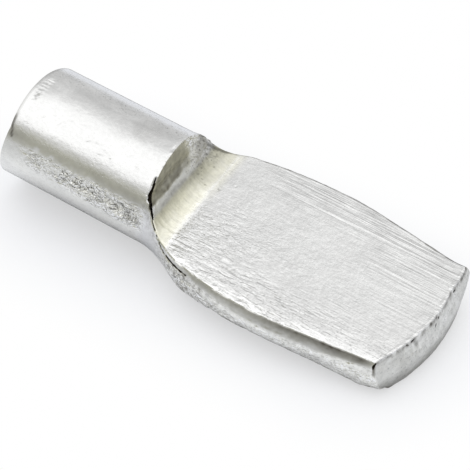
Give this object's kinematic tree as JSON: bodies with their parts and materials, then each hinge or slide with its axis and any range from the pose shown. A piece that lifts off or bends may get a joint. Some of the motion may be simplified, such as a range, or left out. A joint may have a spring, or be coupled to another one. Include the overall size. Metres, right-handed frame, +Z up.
{
  "type": "shelf support pin",
  "caption": "One-piece shelf support pin: a round shank that pushes into a drilled cabinet side, stepped down to a flat paddle with a bowed tip that carries the shelf.",
  "frame": {"origin": "on the shank's axis, at the mouth of the drilled hole it sits in, 0.3 mm before the step's wall", "axes": "+X from the hole mouth to the tip of the paddle, +Z up out of the flat that carries the shelf, +Y across the paddle"},
  "size_m": [0.0202, 0.0078, 0.005],
  "materials": {
    "nickel_plate": "bright nickel plating on cold-formed steel, scuffed on the shank and streaked along the paddle"
  },
  "bodies": {
    "root": {"shelf_pin": "nickel_plate"}
  },
  "joints": []
}
